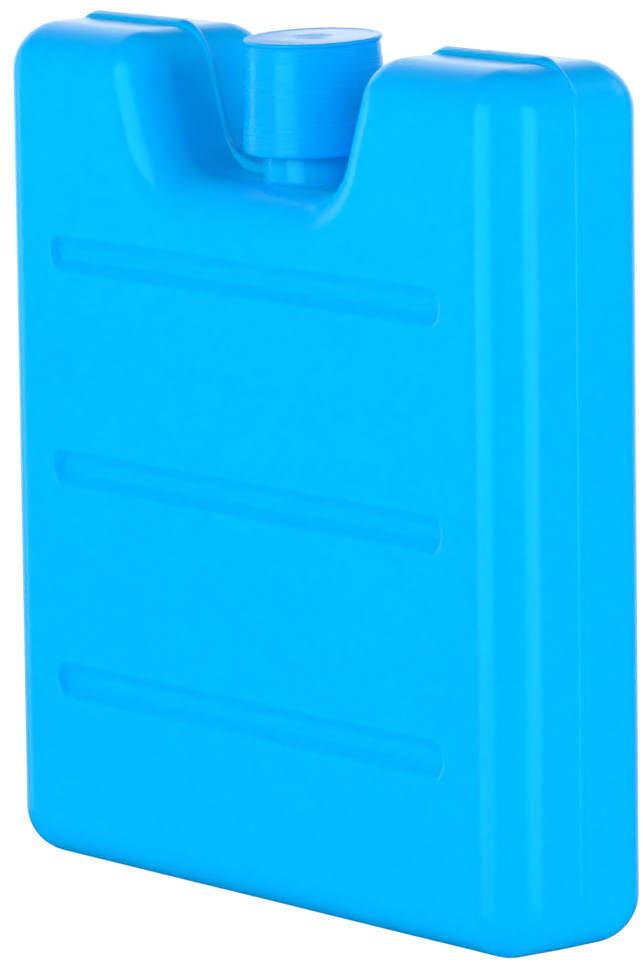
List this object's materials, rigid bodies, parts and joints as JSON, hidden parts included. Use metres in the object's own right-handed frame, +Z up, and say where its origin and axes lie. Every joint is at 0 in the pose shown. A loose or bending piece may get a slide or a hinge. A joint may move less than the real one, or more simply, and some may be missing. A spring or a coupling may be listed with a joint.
{
  "type": "reusable ice pack",
  "caption": "Flat blow-moulded freezer pack with rounded edges, grooves across both faces and a capped filling neck standing in a notch in its top.",
  "frame": {"origin": "middle of the flat base, in the plane of the parting line", "axes": "+Z up through the neck, +X along the width, -Y out of the front face"},
  "size_m": [0.1144, 0.029, 0.1259],
  "materials": {
    "pack_shell": "satin blow-moulded polyethylene, bright cyan blue",
    "cap_plastic": "injection-moulded polyethylene, bright cyan blue, with fine turned lines round its side"
  },
  "bodies": {
    "root": {"body": "pack_shell", "cap": "cap_plastic"}
  },
  "joints": []
}
